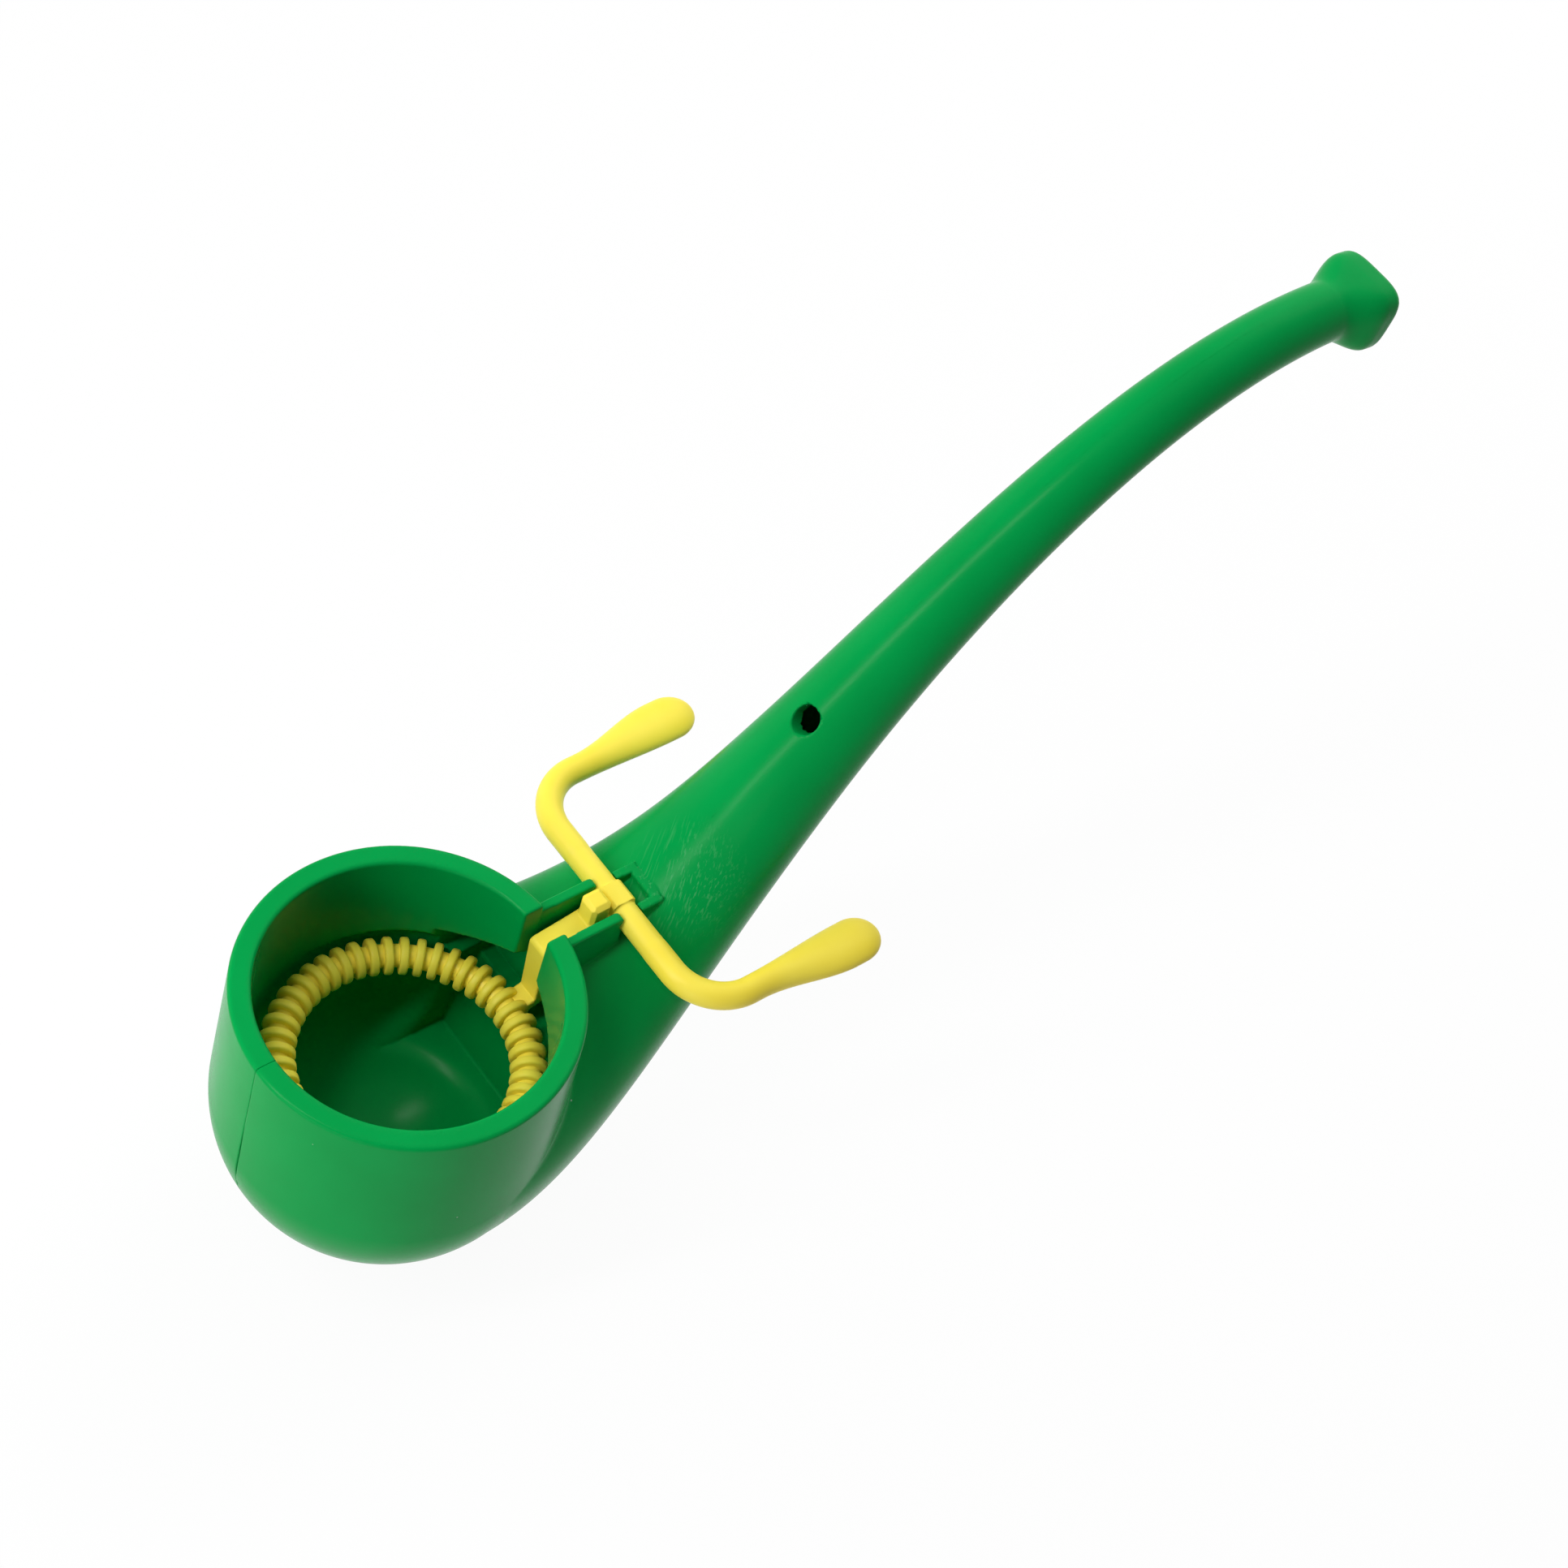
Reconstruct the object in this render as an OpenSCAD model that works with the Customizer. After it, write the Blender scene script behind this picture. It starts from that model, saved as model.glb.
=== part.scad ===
// Toy bubble pipe: a hollow pipe moulded in two halves, with a ribbed bubble wand that
// hangs in the bowl and swings up on a crossbar when its two paddles are pressed.
// Millimetres. The origin is the centre of the rim, +Z is up and +X points to the mouthpiece.

/* [Bowl] */
// Outside diameter of the bowl at its rim
bowl_d = 40; // [36:0.5:44]
// How much wider the bowl's radius is at its belly than at the rim
belly_swell = 0.35; // [0.1:0.05:1]
// Depth of the belly below the rim, where the round bottom starts
belly_depth = 20; // [18.5:0.5:24]
// Wall at the rim
rim_wall = 2.65; // [2:0.05:3]
// Wall of the round bottom
bottom_wall = 3.2; // [2.4:0.1:4]
// Height of the upright band inside the rim
rim_band_h = 3; // [2:0.25:6]
// Rounding of the rim's edges
rim_round = 0.5; // [0.2:0.1:0.8]

/* [Shank and stem] */
// Wall of the shank and stem round the air channel
stem_wall = 1.9; // [1.5:0.1:2.4]
// Distance of the stem's steepest point behind the bowl's axis
rise_x = 55; // [50:1:65]
// Height of the stem's steepest point above the rim
rise_z = 12; // [8:1:16]
// Slope of the stem at its steepest point, in degrees
rise_angle = 52; // [46:1:56]
// Distance of the mouthpiece's end behind the bowl's axis
end_x = 127.1; // [115:0.1:145]
// Height of the mouthpiece's end above the rim
end_z = 53; // [44:0.1:58]
// Slope of the stem at the mouthpiece, in degrees
end_angle = -10.5; // [-25:0.5:0]
// Half width that the stem's taper runs out to
stem_thin = 2.8; // [2.6:0.1:4]
// Length along the pipe in which the shank loses half its swell
taper_len = 34.9; // [30:0.1:40]
// Sharpness of the taper
taper_power = 2.06; // [1.6:0.01:2.4]
// Height of the shank's flattened top as a share of its half width
top_flat = 0.71; // [0.6:0.01:1]

/* [Mouthpiece] */
// Width of the lip
lip_w = 10.5; // [9:0.1:16]
// Height of the lip
lip_h = 9.3; // [8.6:0.1:14]
// Length of the lip
lip_len = 2.6; // [2.2:0.1:6]
// Length of the hollow neck that runs up to the lip
neck_len = 5; // [3:0.2:8]
// Rounding of the lip's end
lip_round = 1.4; // [0.8:0.1:2]

/* [Air hole] */
// Diameter of the hole that blows at the raised wand
hole_d = 3.4; // [2.4:0.1:4]
// Distance of the hole behind the bowl's axis
hole_x = 51.6; // [46:0.2:58]

/* [Hinge seat] */
// Distance of the hinge behind the outside of the rim
hinge_back = 9.1; // [8.5:0.1:11]
// Height of the hinge over the ridge of the shank
hinge_lift = 1.9; // [1.8:0.05:2.6]
// Thickness of the two upright fins
fin_t = 1.25; // [0.9:0.05:1.5]
// Rise of the fins' tops over the hinge
fin_rise = 1.7; // [1.4:0.1:2.2]
// Wall of the bracket behind the crossbar
bracket_wall = 1.25; // [0.9:0.05:1.4]
// Length of the bracket along the pipe
bracket_len = 3.5; // [3:0.1:5]
// Rise of the bracket's top over the hinge
bracket_rise = 1; // [0.7:0.1:1.3]
// Radial play of the crossbar in its round seats
seat_fit = 0.1; // [0.05:0.01:0.15]
// Width of the snap mouth between the fins and the bracket
snap_mouth = 2.5; // [2.3:0.1:2.8]

/* [Wand ring] */
// Depth of the ring's centre below the rim
ring_depth = 16; // [14:0.25:17]
// Distance of the ring's centre behind the bowl's axis
ring_back = 1.6; // [1.2:0.1:2]
// Room between the ring and the wall at the rim
ring_gap = 0.6; // [0.5:0.05:1.2]
// Diameter of the ribs
rib_d = 4.5; // [3.8:0.1:4.8]
// Diameter of the core between the ribs
core_d = 2.8; // [2.4:0.1:3.4]
// Number of ribs
rib_count = 48; // [36:1:60]
// Share of the pitch that a rib fills
rib_share = 0.58; // [0.44:0.02:0.66]

/* [Wand arm] */
// Width of the arm
arm_w = 3; // [2.6:0.1:3.6]
// Thickness of the arm
arm_t = 1.5; // [1.2:0.1:1.8]
// Side play of the arm in the slot and between the fins
arm_play = 0.6; // [0.3:0.05:0.9]
// Fall of the arm from the hinge to its bend
arm_fall = 2.2; // [2:0.1:3]
// Length of the knob along the arm
knob_len = 2.8; // [2.2:0.1:3]
// Rise of the knob's top over the hinge
knob_rise = 2.6; // [2.2:0.1:2.7]

/* [Wand crossbar] */
// Diameter of the crossbar in its seats
bar_d = 3.2; // [2.9:0.05:3.25]
// Diameter of the crossbar outside its seats
grip_d = 3.3; // [3.3:0.1:4]
// Length of the thin journal, both sides together
journal_len = 14.6; // [12:0.2:18]
// Reach of the paddles' arms outside the shank's sides
bar_overhang = 5; // [4.5:0.25:7]
// Radius of the bends
bend_r = 6.5; // [5:0.25:7.5]
// Reach of the paddles' tips behind the hinge
paddle_reach = 25; // [21:0.5:28]
// Width of a paddle
paddle_w = 6.2; // [5:0.1:7]
// Thickness of a paddle
paddle_t = 3.1; // [2.4:0.1:3.6]
// Angle that the wand swings up from rest, in degrees
swing = 110; // [100:1:112]

/* [Hidden] */
$fn = 96;
// Overrun of cutting solids, a length past the whole pipe, and a turn that keeps the seams of
// round faces off the parting plane
past = 1;
far = 300;
odd_turn = 37;
green = [0.0, 0.62, 0.27];
yellow = [0.97, 0.87, 0.33];

bowl_r = bowl_d / 2;
belly_r = bowl_r + belly_swell;
bore_r = bowl_r - rim_wall;
hollow_r = belly_r - bottom_wall;

// Centre line of the pipe: two cubic curves that meet where the stem is steepest
start_angle = -13;
start_pull = 26.5;
rise_pull_in = 20;
rise_pull_out = 28.7;
end_pull = 33.1;
line_steps = 60;
// The shank starts just inside the belly
root_inset = 0.15;
shank_w0 = belly_r - root_inset;

function along(a) = [cos(a), sin(a)];
function cubic(p, t) =
    pow(1 - t, 3) * p[0] + 3 * pow(1 - t, 2) * t * p[1] + 3 * (1 - t) * t * t * p[2] + t * t * t * p[3];
function ease(u) = let (v = min(1, max(0, u))) v * v * (3 - 2 * v);

line_start = [0, -belly_depth];
line_rise = [rise_x, rise_z];
line_end = [end_x, end_z];
lower_span = [
    line_start,
    line_start + start_pull * along(start_angle),
    line_rise - rise_pull_in * along(rise_angle),
    line_rise
];
upper_span = [
    line_rise,
    line_rise + rise_pull_out * along(rise_angle),
    line_end - end_pull * along(end_angle),
    line_end
];
line = [
    for (i = [0 : line_steps]) cubic(lower_span, i / line_steps),
    for (i = [1 : line_steps]) cubic(upper_span, i / line_steps)
];
line_last = len(line) - 1;
line_s = [
    for (i = 0, s = 0; i <= line_last; i = i + 1, s = i > line_last ? s : s + norm(line[i] - line[i - 1])) s
];
line_len = line_s[line_last];
line_x = [for (i = [0 : line_last]) [line_s[i], line[i][0]]];
line_z = [for (i = [0 : line_last]) [line_s[i], line[i][1]]];
line_a = [
    for (i = [0 : line_last])
        let (d = line[min(i + 1, line_last)] - line[max(i - 1, 0)]) [line_s[i], atan2(d[1], d[0])]
];

// Sections of the pipe at a length s along its centre line, round ones and the squarer lip
neck_s = line_len - lip_len - neck_len;
flat_from = 42.6;
flat_to = 65.3;
round_power = 2;
lip_square = 3.8;
function swell(s) = stem_thin + (shank_w0 - stem_thin) / (1 + pow(s / taper_len, taper_power));
function crown(s) = top_flat + (1 - top_flat) * ease((s - flat_from) / (flat_to - flat_from));
function flare(s) = ease((s - neck_s) / neck_len);
function end_inset(s) =
    let (d = max(0, min(lip_round, s - line_len + lip_round)))
    lip_round - sqrt(lip_round * lip_round - d * d);
function half_w(s) = swell(s) + (lip_w / 2 - swell(s)) * flare(s) - end_inset(s);
function half_up(s) = crown(s) * swell(s) + (lip_h / 2 - swell(s)) * flare(s) - end_inset(s);
function half_down(s) = swell(s) + (lip_h / 2 - swell(s)) * flare(s) - end_inset(s);
function squareness(s) = round_power + (lip_square - round_power) * flare(s);

section_sides = 28;
function bent(v, n) = sign(v) * pow(abs(v), 2 / n);
function oval(w, up, down, n, sides) = [
    for (j = [0 : sides - 1])
        let (q = 360 * (j + 0.5) / sides) [w * bent(cos(q), n), (sin(q) > 0 ? up : down) * bent(sin(q), n)]
];
function on_line(s, ring) =
    let (x = lookup(s, line_x), z = lookup(s, line_z), a = lookup(s, line_a), more = max(0, s - line_len))
    [for (p = ring) [x + more * cos(a) - p[1] * sin(a), p[0], z + more * sin(a) + p[1] * cos(a)]];

// Ridge of the shank, as height over distance behind the bowl's axis
ridge = [
    for (i = [0 : line_last])
        let (s = line_s[i], up = half_up(s))
        [line[i][0] - up * sin(line_a[i][1]), line[i][1] + up * cos(line_a[i][1])]
];
side_w = [for (i = [0 : line_last]) [line[i][0], swell(line_s[i])]];

// Hinge
bar_r = bar_d / 2;
grip_r = grip_d / 2;
hinge_x = bowl_r + hinge_back;
hinge_z = lookup(hinge_x, ridge) + hinge_lift;
seat_r = bar_r + seat_fit;
slot_w = arm_w + 2 * arm_play;

// Ring and arm
rib_r = rib_d / 2;
core_r = core_d / 2;
ring_r = bore_r - ring_gap - rib_r;
ring_z = -ring_depth;
ring_out = ring_r + rib_r;
ring_rear = ring_back + ring_out;
// Room round the wand where it rests in the shell
wand_clear = 0.45;
// The arm leaves the bar a little low, bends inside the rim, drops with a slight lean behind the
// ring and turns in to its core
arm_sag = 0.6;
bend_inset = 1;
leg_lean = 0.6;
bend_x = bowl_r - bend_inset;
arm_line = [
    [hinge_x, hinge_z - arm_sag],
    [bend_x, hinge_z - arm_fall],
    [bend_x + leg_lean, ring_z + rib_r / 2],
    [ring_back + ring_r, ring_z]
];

// Pocket for the ring behind the bowl and the plate that closes the air chamber
pocket_top = ring_z + rib_r + 2 * wand_clear;
ledge_z = ring_z - rib_r - wand_clear;
pocket_half = 9.5;
pocket_depth = 3;
ledge_depth = 2;
plate_drop = 12.4;
plate_lean = 3.3;
pocket_x = ring_rear + pocket_depth;
ledge_x = pocket_x - ledge_depth;
foot_x = ledge_x - plate_lean;
foot_z = ledge_z - plate_drop;

// Gabled roof over the rear of the ring: its ridge and its eaves as heights over the pocket's top, at
// the bowl's axis, at a point inside the bore, at the bore and behind the wall, where it falls
gable_half = 11.5;
gable_inset = 4.3;
gable_ridge = 6;
gable_eaves = 0.8;
gable_dip = 1.3;
gable_fall = 2.1;
gable_depth = 4;
gable = [
    [0, gable_ridge, gable_eaves],
    [bore_r - gable_inset, gable_ridge, gable_eaves],
    [bore_r, gable_ridge, gable_eaves - gable_dip],
    [pocket_x - wand_clear, gable_ridge - gable_fall, gable_eaves - gable_dip - gable_fall]
];

// Tip of the jet: the centre of the ring when the wand is up
ring_from_hinge = [ring_back - hinge_x, ring_z - hinge_z];
raised_ring = [
    hinge_x + ring_from_hinge[0] * cos(swing) + ring_from_hinge[1] * sin(swing),
    hinge_z - ring_from_hinge[0] * sin(swing) + ring_from_hinge[1] * cos(swing)
];
hole_z = lookup(hole_x, ridge);
jet_angle = atan2(raised_ring[1] - hole_z, raised_ring[0] - hole_x);

// Paddles
bar_half = lookup(hinge_x, side_w) + bar_overhang;
// The paddle grows out of a short straight stub, reaches its full width at one share of its
// length, lies a little outside the bar's end and rounds off over the last share
stub_len = 3;
paddle_from = bend_r + stub_len / 3;
paddle_shift = 0.8;
paddle_full = 0.72;
paddle_tip = 0.8;
paddle_inset = 0.05;
last_turn = 80;

// Solid through a list of rings of points, closed at both ends
module loft(rings) {
    sides = len(rings[0]);
    last = len(rings) - 1;
    walls = [
        for (i = [0 : last - 1], j = [0 : sides - 1])
            let (a = i * sides + j, b = i * sides + (j + 1) % sides)
            each [[b, a, a + sides], [b + sides, b, a + sides]]
    ];
    first_cap = [for (j = [0 : sides - 1]) j];
    last_cap = [for (j = [sides - 1 : -1 : 0]) last * sides + j];
    polyhedron([for (r = rings) each r], concat(walls, [first_cap, last_cap]), convexity = 6);
}

// Profile in the XZ plane, extruded to both sides of the parting plane
module across(width) {
    rotate([90, 0, 0])
        linear_extrude(height = width, center = true)
            children();
}

module y_cylinder(x, z, r, width) {
    translate([x, 0, z])
        rotate([90, odd_turn, 0])
            cylinder(h = width, r = r, center = true);
}

// Strip of even thickness along a bent line
function turn_left(d) = [-d[1], d[0]] / norm(d);
function strip_side(p, h) = [
    for (i = [0 : len(p) - 1])
        let (
            a = turn_left(p[max(i, 1)] - p[max(i, 1) - 1]),
            b = turn_left(p[min(i + 1, len(p) - 1)] - p[min(i + 1, len(p) - 1) - 1]),
            m = a + b
        )
        p[i] + 2 * h * m / (m * m)
];
function reversed(p) = [for (i = [len(p) - 1 : -1 : 0]) p[i]];
function strip(p, t) = concat(strip_side(p, t / 2), reversed(strip_side(p, -t / 2)));

// Quarter round from one angle to the next, as points of a profile
arc_steps = 4;
function arc(c, r, from, to) =
    [for (i = [0 : arc_steps]) c + r * along(from + (to - from) * i / arc_steps)];

// Quarter of a disc below the belly, beside the axis
module quarter_disc(r) {
    translate([0, -belly_depth])
        intersection() {
            circle(r = r);
            translate([0, -r - past])
                square([r + past, r + past]);
        }
}

module bowl_body() {
    rotate([0, 0, odd_turn])
        rotate_extrude()
            union() {
                polygon(concat(
                    [[0, -belly_depth], [belly_r, -belly_depth]],
                    arc([bowl_r - rim_round, -rim_round], rim_round, 0, 90),
                    [[0, 0]]
                ));
                quarter_disc(belly_r);
            }
}

module bowl_hollow() {
    rotate([0, 0, odd_turn])
        rotate_extrude()
            union() {
                polygon(concat(
                    [[0, -belly_depth], [hollow_r, -belly_depth], [bore_r, -rim_band_h]],
                    arc([bore_r + rim_round, -rim_round], rim_round, 180, 90),
                    [[bore_r + rim_round, past], [0, past]]
                ));
                quarter_disc(hollow_r);
            }
}

shank_steps = 36;
lip_steps = 5;
module shank_body() {
    stations = concat(
        [for (i = [0 : shank_steps - 1]) neck_s * i / shank_steps],
        [for (i = [0 : lip_steps]) neck_s + neck_len * i / lip_steps],
        [for (i = [0 : lip_steps]) line_len - lip_round + lip_round * sin(90 * i / lip_steps)]
    );
    loft([
        for (s = stations)
            on_line(s, oval(half_w(s), half_up(s), half_down(s), squareness(s), section_sides))
    ]);
}

// Air channel, from the plate behind the bowl to the end of the lip
channel_steps = 34;
module air_channel() {
    from = foot_x - pocket_depth;
    length = line_len + past - from;
    intersection() {
        loft([
            for (i = [0 : channel_steps])
                let (s = from + length * i / channel_steps, w = swell(s) - stem_wall)
                on_line(s, oval(w, crown(s) * swell(s) - stem_wall, w, round_power, section_sides))
        ]);
        across(2 * bowl_d)
            polygon([
                [pocket_x + stem_wall, ledge_z],
                [foot_x + stem_wall, foot_z],
                [foot_x + stem_wall, -far],
                [far, -far],
                [far, far],
                [pocket_x + stem_wall, far]
            ]);
    }
}

// Room behind the bowl for the rear of the ring, over a ledge and a slanted plate
module ring_pocket() {
    across(2 * pocket_half)
        polygon([
            [0, pocket_top],
            [pocket_x, pocket_top],
            [pocket_x, ledge_z],
            [ledge_x, ledge_z],
            [foot_x, foot_z],
            [0, foot_z]
        ]);
    translate([ring_back, 0, ledge_z])
        rotate([0, 0, odd_turn])
            cylinder(h = pocket_top - wand_clear - ledge_z, r = ring_out + wand_clear);
}

module ring_gable() {
    loft([
        for (g = gable)
            let (
                ridge_z = pocket_top + g[1],
                eaves_z = pocket_top + g[2],
                floor_z = pocket_top - gable_depth
            )
            [
                [g[0], gable_half, eaves_z],
                [g[0], 0, ridge_z],
                [g[0], -gable_half, eaves_z],
                [g[0], -gable_half, floor_z],
                [g[0], gable_half, floor_z]
            ]
    ]);
}

module arm_slot() {
    across(slot_w)
        polygon([
            [0, past],
            [bend_x + arm_t + past, past],
            [bend_x + arm_t + past, pocket_top - past],
            [0, pocket_top - past]
        ]);
}

module air_hole() {
    translate([hole_x, 0, hole_z])
        rotate([0, 90 - jet_angle, 0])
            translate([0, 0, -stem_wall - hole_d])
                rotate([0, 0, odd_turn])
                    cylinder(h = stem_wall + 3 * hole_d, d = hole_d);
}

// Upright fins on both sides of the arm, with the front half of the crossbar's seats
fin_round = 0.9;
module fins() {
    fin_end = hinge_x - snap_mouth / 2;
    fin_top = hinge_z + fin_rise;
    fin_foot = lookup(bowl_r, ridge) - stem_wall;
    difference() {
        for (side = [-1, 1])
            translate([0, side * (slot_w + fin_t) / 2, 0])
                across(fin_t)
                    polygon(concat(
                        [[bowl_r - rim_wall / 2, fin_foot], [fin_end, fin_foot]],
                        arc([fin_end - fin_round, fin_top - fin_round], fin_round, 0, 90),
                        [[bowl_r - rim_wall / 2, fin_top]]
                    ));
        y_cylinder(hinge_x, hinge_z, seat_r, bowl_d);
    }
}

// Open bracket behind the crossbar, with the rear half of its seats, a little narrower inside than
// the slot between the fins
bracket_tuck = 0.5;
module bracket() {
    front = hinge_x + snap_mouth / 2;
    inside = slot_w - bracket_tuck;
    foot = lookup(hinge_x, ridge) - stem_wall / 2;
    top = hinge_z + bracket_rise;
    difference() {
        translate([front, -inside / 2 - bracket_wall, foot])
            cube([bracket_len, inside + 2 * bracket_wall, top - foot]);
        translate([front - past, -inside / 2, foot - past])
            cube([bracket_len - bracket_wall + past, inside, top - foot + 2 * past]);
        y_cylinder(hinge_x, hinge_z, seat_r, bowl_d);
    }
}

// Whole pipe before it is parted along its middle
module pipe() {
    difference() {
        union() {
            bowl_body();
            shank_body();
            fins();
            bracket();
        }
        bowl_hollow();
        ring_pocket();
        ring_gable();
        arm_slot();
        air_channel();
        air_hole();
        y_cylinder(hinge_x, hinge_z, block_swing + wand_clear, slot_w - bracket_tuck);
    }
}

// Left half of the pipe; the right half is its mirror image
module half() {
    intersection() {
        pipe();
        translate([-far / 2, 0, -far / 2])
            cube([far, far, far]);
    }
}

module left_shell() {
    color(green)
        half();
}

module right_shell() {
    color(green)
        mirror([0, 1, 0])
            half();
}

// Soap ring: a round core with a row of ribs that hold the liquid
module ring() {
    pitch = 360 / rib_count;
    translate([ring_back, 0, ring_z]) {
        rotate([0, 0, odd_turn])
            rotate_extrude()
                translate([ring_r, 0])
                    circle(r = core_r);
        for (i = [0 : rib_count - 1])
            rotate([0, 0, pitch * (i + 0.5 - rib_share / 2)])
                rotate_extrude(angle = pitch * rib_share)
                    translate([ring_r, 0])
                        circle(r = rib_r);
    }
}

module arm() {
    across(arm_w)
        polygon(strip(arm_line, arm_t));
}

// Square with cut corners
function cut_square(w, h, c) = [
    [w / 2 - c, -h / 2], [w / 2, -h / 2 + c], [w / 2, h / 2 - c], [w / 2 - c, h / 2],
    [c - w / 2, h / 2], [-w / 2, h / 2 - c], [-w / 2, c - h / 2], [c - w / 2, -h / 2]
];

block_w = 3.2;
block_h = 3.4;
block_cut = 0.5;
block_swing = norm([block_w / 2 - block_cut, block_h / 2]);
module block() {
    translate([hinge_x, 0, hinge_z])
        across(block_w)
            polygon(cut_square(block_w, block_h, block_cut));
}

// Thumb knob on the arm in front of the hinge, with cut edges on its top
knob_cut = 0.5;
knob_gap = 0.15;
knob_tuck = 0.05;
module knob() {
    knob_x = hinge_x - block_w / 2 - knob_len / 2 - knob_gap;
    knob_w = arm_w - 2 * knob_tuck;
    knob_h = knob_rise + arm_t;
    translate([knob_x, 0, hinge_z + knob_rise - knob_h / 2])
        intersection() {
            across(knob_w)
                polygon(cut_square(knob_len, knob_h, knob_cut));
            rotate([0, 0, 90])
                across(knob_len)
                    polygon(cut_square(knob_w, knob_h, knob_cut));
        }
}

step_len = 0.7;
module crossbar() {
    y_cylinder(hinge_x, hinge_z, bar_r, journal_len);
    for (side = [-1, 1])
        mirror([0, side < 0 ? 1 : 0, 0]) {
            translate([hinge_x, journal_len / 2, hinge_z])
                rotate([-90, 0, 0])
                    cylinder(h = step_len, r1 = bar_r, r2 = grip_r);
            translate([hinge_x, journal_len / 2 + step_len, hinge_z])
                rotate([-90, 0, 0])
                    cylinder(h = bar_half - bend_r - journal_len / 2 - step_len, r = grip_r);
            translate([hinge_x + bend_r, bar_half - bend_r, hinge_z])
                rotate([0, 0, 90])
                    rotate_extrude(angle = 90)
                        translate([bend_r, 0])
                            circle(r = grip_r);
            translate([hinge_x + bend_r, bar_half, hinge_z])
                rotate([0, 90, 0])
                    cylinder(h = stub_len, r = grip_r);
            paddle();
        }
}

// Finger paddle: the bar flattens and widens to a round tip
paddle_sides = 16;
paddle_steps = 7;
tip_steps = 6;
function tip_round(u) = u < paddle_tip ? 1 : sqrt(1 - pow((u - paddle_tip) / (1 - paddle_tip), 2));
function paddle_ring(u) =
    let (
        f = ease(u / paddle_full),
        x = hinge_x + paddle_from + (paddle_reach - paddle_from) * u,
        a = (grip_r - paddle_inset + (paddle_w / 2 - grip_r) * f) * tip_round(u),
        b = (grip_r - paddle_inset + (paddle_t / 2 - grip_r) * f) * tip_round(u)
    )
    [
        for (p = oval(a, b, b, round_power, paddle_sides))
            [x, bar_half + paddle_shift * f + p[0], hinge_z + p[1]]
    ];
module paddle() {
    loft(concat(
        [for (i = [0 : paddle_steps]) paddle_ring(paddle_tip * i / paddle_steps)],
        [
            for (i = [1 : tip_steps])
                paddle_ring(paddle_tip + (1 - paddle_tip) * sin(last_turn * i / tip_steps))
        ]
    ));
}

module bubble_wand() {
    color(yellow)
        union() {
            ring();
            arm();
            block();
            knob();
            crossbar();
        }
}

left_shell();
right_shell();
bubble_wand();
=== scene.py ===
import math
from functools import reduce

import bpy
import numpy as np
from mathutils import Matrix, Vector


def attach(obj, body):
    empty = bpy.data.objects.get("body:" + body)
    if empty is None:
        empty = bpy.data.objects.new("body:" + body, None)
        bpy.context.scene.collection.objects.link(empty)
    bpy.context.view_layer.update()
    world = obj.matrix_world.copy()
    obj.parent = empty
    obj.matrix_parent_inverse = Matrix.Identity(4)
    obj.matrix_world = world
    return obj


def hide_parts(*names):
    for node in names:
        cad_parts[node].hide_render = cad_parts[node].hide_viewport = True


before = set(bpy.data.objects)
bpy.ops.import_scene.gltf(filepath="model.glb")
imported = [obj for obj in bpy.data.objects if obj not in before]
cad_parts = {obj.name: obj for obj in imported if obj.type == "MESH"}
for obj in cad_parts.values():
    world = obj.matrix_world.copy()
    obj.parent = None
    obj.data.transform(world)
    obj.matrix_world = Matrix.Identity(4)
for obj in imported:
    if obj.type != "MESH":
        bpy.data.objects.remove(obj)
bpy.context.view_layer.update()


# Pipe: a hollow bowl, shank, stem and bit in green polypropylene. It is moulded as two mirrored
# halves and welded along the middle, which leaves a fine seam down the bowl's front. The fins, the
# open bracket and the wand's round seats are moulded on. All sizes are in millimetres.
mm = 0.001
edge_round = 0.28


def eased(u):
    """Rises smoothly from 0 to 1."""
    v = np.clip(u, 0, 1)
    return v * v * (3 - 2 * v)


def heading(degrees):
    """Direction in the parting plane, as its x and z."""
    return np.array([math.cos(math.radians(degrees)), math.sin(math.radians(degrees))])


def oval_depth(y, n, half_w, half_h, square):
    """Distance outside an oval section, negative inside it."""
    off_centre = 1e-6
    u, v = np.abs(y) / half_w + off_centre, np.abs(n) / half_h + off_centre
    r = (u ** square + v ** square) ** (1 / square)
    slope = np.hypot(u ** (square - 1) / half_w, v ** (square - 1) / half_h) * r ** (1 - square)
    return (r - 1) / slope


def sharp_meet(*depths):
    """Common part of several solids, with sharp edges."""
    return reduce(np.maximum, depths)


def sharp_join(*depths):
    """Several hollows as one, with sharp edges."""
    return reduce(np.minimum, depths)


def rounded_meet(a, b, r):
    """Common part of two solids, with a rounded edge."""
    return np.minimum(np.maximum(a, b), -r) + np.hypot(np.maximum(a + r, 0), np.maximum(b + r, 0))


def filleted_join(a, b, r):
    """Two solids as one, with a fillet in the corner."""
    return np.maximum(np.minimum(a, b), r) - np.hypot(np.maximum(r - a, 0), np.maximum(r - b, 0))


def melted_join(a, b, r):
    """Two hollows as one, with the edge between them worn away over a width r."""
    share = np.clip(0.5 + 0.5 * (b - a) / r, 0, 1)
    return b + (a - b) * share - r * share * (1 - share)


# The pipe's centre line runs from the belly's middle up to the bit, as two cubic curves. It is kept
# as evenly spaced stations with their directions and bends.
belly_depth = 20.0
root_at, rise_at, bit_at = np.array([[0.0, -belly_depth], [55.0, 12.0], [127.1, 53.0]])
root_angle, rise_angle, bit_angle = -13, 52, -10.5
root_way, rise_way, bit_way = heading(root_angle), heading(rise_angle), heading(bit_angle)
root_pull, rise_pull_in, rise_pull_out, bit_pull = 26.5, 20, 28.7, 33.1
curve_points, station_count = 2000, 520


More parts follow.
